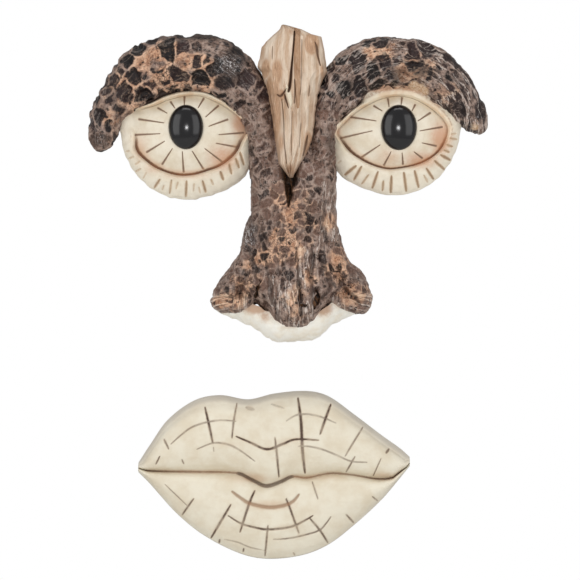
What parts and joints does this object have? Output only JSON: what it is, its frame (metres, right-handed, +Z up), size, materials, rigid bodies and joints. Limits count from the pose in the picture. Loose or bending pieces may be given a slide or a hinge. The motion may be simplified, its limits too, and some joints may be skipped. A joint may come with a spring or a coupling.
{
  "type": "tree face sculpture",
  "caption": "Hanging face in two painted resin castings: bark brows and nose with split wood and wide eyes above, cracked wooden lips below.",
  "frame": {"origin": "on the flat back of the upper casting, behind the bridge of the nose at the height of the pupils, on the trunk's surface", "axes": "+Y out of the flat backs into the trunk, +Z up, +X to the right as the face is looked at; the face looks towards -Y"},
  "size_m": [0.2003, 0.0399, 0.2674],
  "materials": {
    "bark_paint": "cast resin painted as dark bark, with cream eyes, bare wood and glossy pupils",
    "cream_paint": "cast resin painted as pale carved wood with brown cracks"
  },
  "bodies": {
    "root": {"eyes_and_nose": "bark_paint", "mouth": "cream_paint"}
  },
  "joints": []
}
